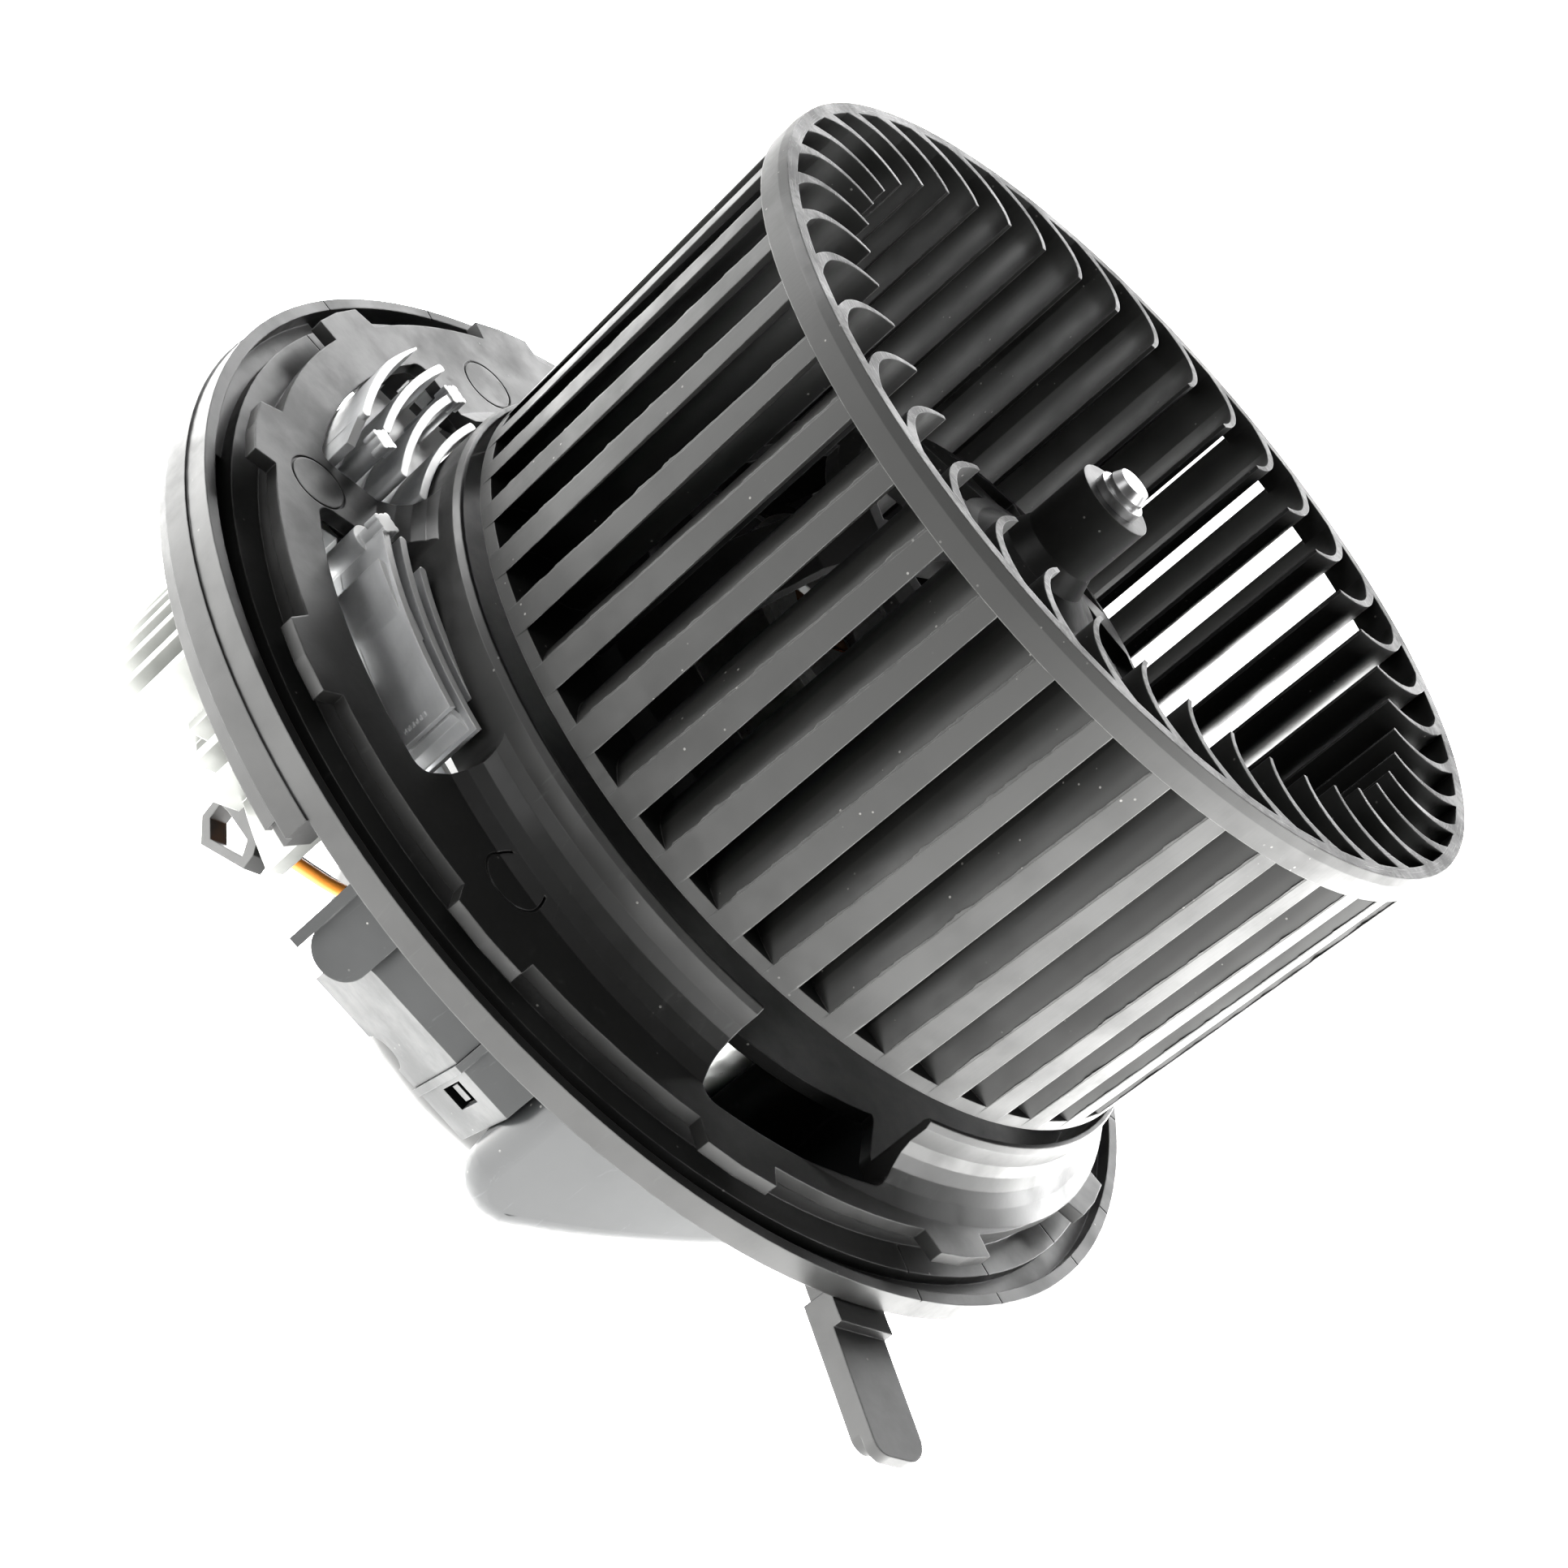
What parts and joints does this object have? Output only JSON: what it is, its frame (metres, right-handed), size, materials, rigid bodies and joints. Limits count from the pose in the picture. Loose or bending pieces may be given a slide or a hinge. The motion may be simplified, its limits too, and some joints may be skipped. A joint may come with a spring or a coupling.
{
  "type": "blower motor wheel",
  "caption": "Cabin blower: forward-curved fan wheel on a brush motor in a round bayonet flange, with die-cast regulator heat sink, cooling duct and sprung latch lever.",
  "frame": {"origin": "Centre of the flange rim, in the plane of the rim's top face", "axes": "+Z runs along the fan's axis direction from the motor to the wheel; the fan's axis stands 10.5 mm off the origin along +X; the heat sink lies on the -X side"},
  "size_m": [0.2026, 0.2037, 0.1495],
  "materials": {
    "housing_plastic": "satin",
    "wheel_plastic": "satin",
    "cast_aluminium": "cast",
    "zinc_steel": "plated",
    "circuit_board": "satin",
    "component_plastic": "matte",
    "spring_steel": "bright",
    "tinned_brass": "bright",
    "black_rubber": "matte",
    "sintered_bronze": "matte",
    "ferrite": "matte",
    "phenolic_board": "satin",
    "carbon": "matte",
    "copper_wire": "enamelled",
    "orange_insulation": "satin",
    "black_insulation": "satin",
    "bright_steel": "ground",
    "lamination_steel": "matte"
  },
  "bodies": {
    "carrier": {"mounting_flange": "housing_plastic", "heat_sink": "cast_aluminium", "sink_screws": "zinc_steel", "cooling_duct": "housing_plastic", "regulator_housing": "housing_plastic", "regulator_cover": "housing_plastic", "regulator_board": "circuit_board", "board_components": "component_plastic", "power_transistors": "component_plastic", "transistor_clip": "spring_steel", "connector_pins": "tinned_brass", "cable_clip": "housing_plastic", "motor_cup": "housing_plastic", "cup_screws": "zinc_steel", "lead_grommet": "black_rubber", "damper_pads": "black_rubber", "motor_can": "zinc_steel", "motor_end_bell": "zinc_steel", "upper_bearing": "sintered_bronze", "lower_bearing": "sintered_bronze", "bearing_retainers": "spring_steel", "field_magnets": "ferrite", "magnet_springs": "spring_steel", "brush_card": "phenolic_board", "brushes": "carbon", "brush_springs": "spring_steel", "brush_chokes": "copper_wire", "motor_lead_plus": "orange_insulation", "motor_lead_minus": "black_insulation"},
    "latch_lever": {"latch_lever": "housing_plastic"},
    "rotor": {"blower_wheel": "wheel_plastic", "hub_insert": "tinned_brass", "balance_clips": "spring_steel", "motor_shaft": "bright_steel", "armature_core": "lamination_steel", "armature_windings": "copper_wire", "commutator": "copper_wire", "thrust_washers": "component_plastic"}
  },
  "joints": [
    {"name": "fan_spin", "type": "hinge", "parent": "carrier", "child": "rotor", "pos_m": [0.0105, 0, 0], "axis": [0, 0, 1], "continuous": true},
    {"name": "latch_flex", "type": "hinge", "parent": "carrier", "child": "latch_lever", "pos_m": [0.06045, -0.07944, -0.007], "axis": [0.788, 0.6157, 0], "range_deg": [0, 6.5], "stiffness_Nm_per_rad": 0.8}
  ]
}
